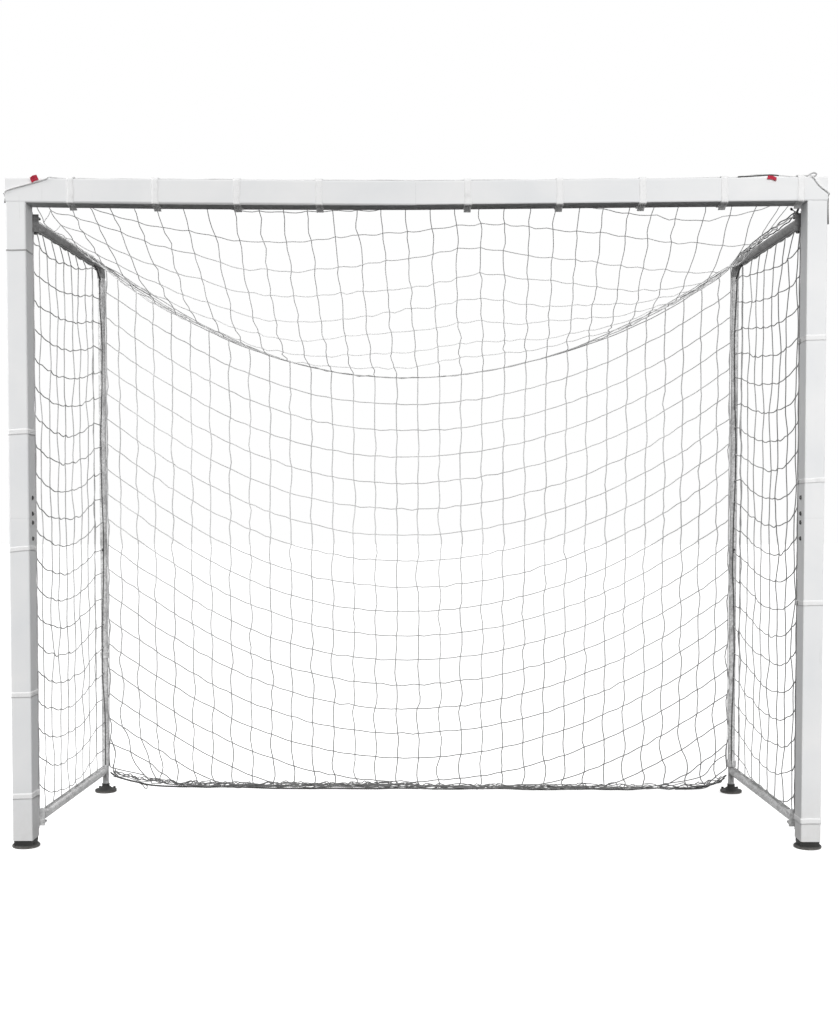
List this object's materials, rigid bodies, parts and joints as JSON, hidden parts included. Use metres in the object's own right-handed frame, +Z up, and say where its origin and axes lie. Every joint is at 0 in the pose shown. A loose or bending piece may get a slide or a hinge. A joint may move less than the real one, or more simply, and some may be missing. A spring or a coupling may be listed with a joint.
{
  "type": "free-standing goal with net",
  "caption": "Free-standing sports goal: white box-section posts and crossbar, round-tube side frames that fold in on pins, rubber feet and a laced knotted net.",
  "frame": {"origin": "on the floor, under the middle of the whole goal's bounding box", "axes": "+Z up, +X to the right seen from in front of the mouth, the mouth faces -Y"},
  "size_m": [2.461, 0.8784, 2.017],
  "materials": {
    "white_paint": "gloss white paint",
    "zinc_tube": "galvanised",
    "dark_steel": "blackened steel",
    "black_rubber": "matt",
    "net_twine": "knotted twine",
    "border_rope": "laid rope",
    "white_strap": "hook-and-loop webbing",
    "red_tab": "woven label, plain"
  },
  "bodies": {
    "front_frame": {"crossbar_left": "white_paint", "crossbar_right": "white_paint", "crossbar_splice": "zinc_tube", "post_upper_left": "white_paint", "post_lower_left": "white_paint", "post_splice_left": "zinc_tube", "corner_bracket_left": "zinc_tube", "post_bolt_left_1": "dark_steel", "post_bolt_left_2": "dark_steel", "post_bolt_left_3": "dark_steel", "post_bolt_left_4": "dark_steel", "front_foot_left": "black_rubber", "upper_bracket_left": "white_paint", "upper_hinge_pin_left": "dark_steel", "lower_bracket_left": "white_paint", "lower_hinge_pin_left": "dark_steel", "post_upper_right": "white_paint", "post_lower_right": "white_paint", "post_splice_right": "zinc_tube", "corner_bracket_right": "zinc_tube", "post_bolt_right_1": "dark_steel", "post_bolt_right_2": "dark_steel", "post_bolt_right_3": "dark_steel", "post_bolt_right_4": "dark_steel", "front_foot_right": "black_rubber", "upper_bracket_right": "white_paint", "upper_hinge_pin_right": "dark_steel", "lower_bracket_right": "white_paint", "lower_hinge_pin_right": "dark_steel", "roof_net": "net_twine", "back_net": "net_twine", "rear_rope": "border_rope", "ground_rope": "border_rope", "front_rope": "border_rope", "bar_strap_1": "white_strap", "bar_strap_2": "white_strap", "bar_strap_3": "white_strap", "bar_strap_4": "white_strap", "bar_strap_5": "white_strap", "bar_strap_6": "white_strap", "bar_strap_7": "white_strap", "bar_strap_8": "white_strap", "bar_strap_9": "white_strap", "corner_tab_left": "red_tab", "corner_tab_right": "red_tab"},
    "side_frame_left": {"top_tube_left": "zinc_tube", "ground_tube_left": "zinc_tube", "back_post_upper_left": "zinc_tube", "back_post_lower_left": "zinc_tube", "back_post_bolt_left": "dark_steel", "back_foot_left": "black_rubber", "side_net_left": "net_twine"},
    "side_frame_right": {"top_tube_right": "zinc_tube", "ground_tube_right": "zinc_tube", "back_post_upper_right": "zinc_tube", "back_post_lower_right": "zinc_tube", "back_post_bolt_right": "dark_steel", "back_foot_right": "black_rubber", "side_net_right": "net_twine"}
  },
  "joints": [
    {"name": "left_side_fold", "type": "hinge", "parent": "front_frame", "child": "side_frame_left", "pos_m": [-1.158, -0.3303, 0.986], "axis": [0, 0, -1], "range_deg": [-2, 87], "deforming": ["roof_net", "back_net", "rear_rope", "ground_rope"]},
    {"name": "right_side_fold", "type": "hinge", "parent": "front_frame", "child": "side_frame_right", "pos_m": [1.158, -0.3303, 0.986], "axis": [0, 0, 1], "range_deg": [-2, 87], "deforming": ["roof_net", "back_net", "rear_rope", "ground_rope"]}
  ]
}
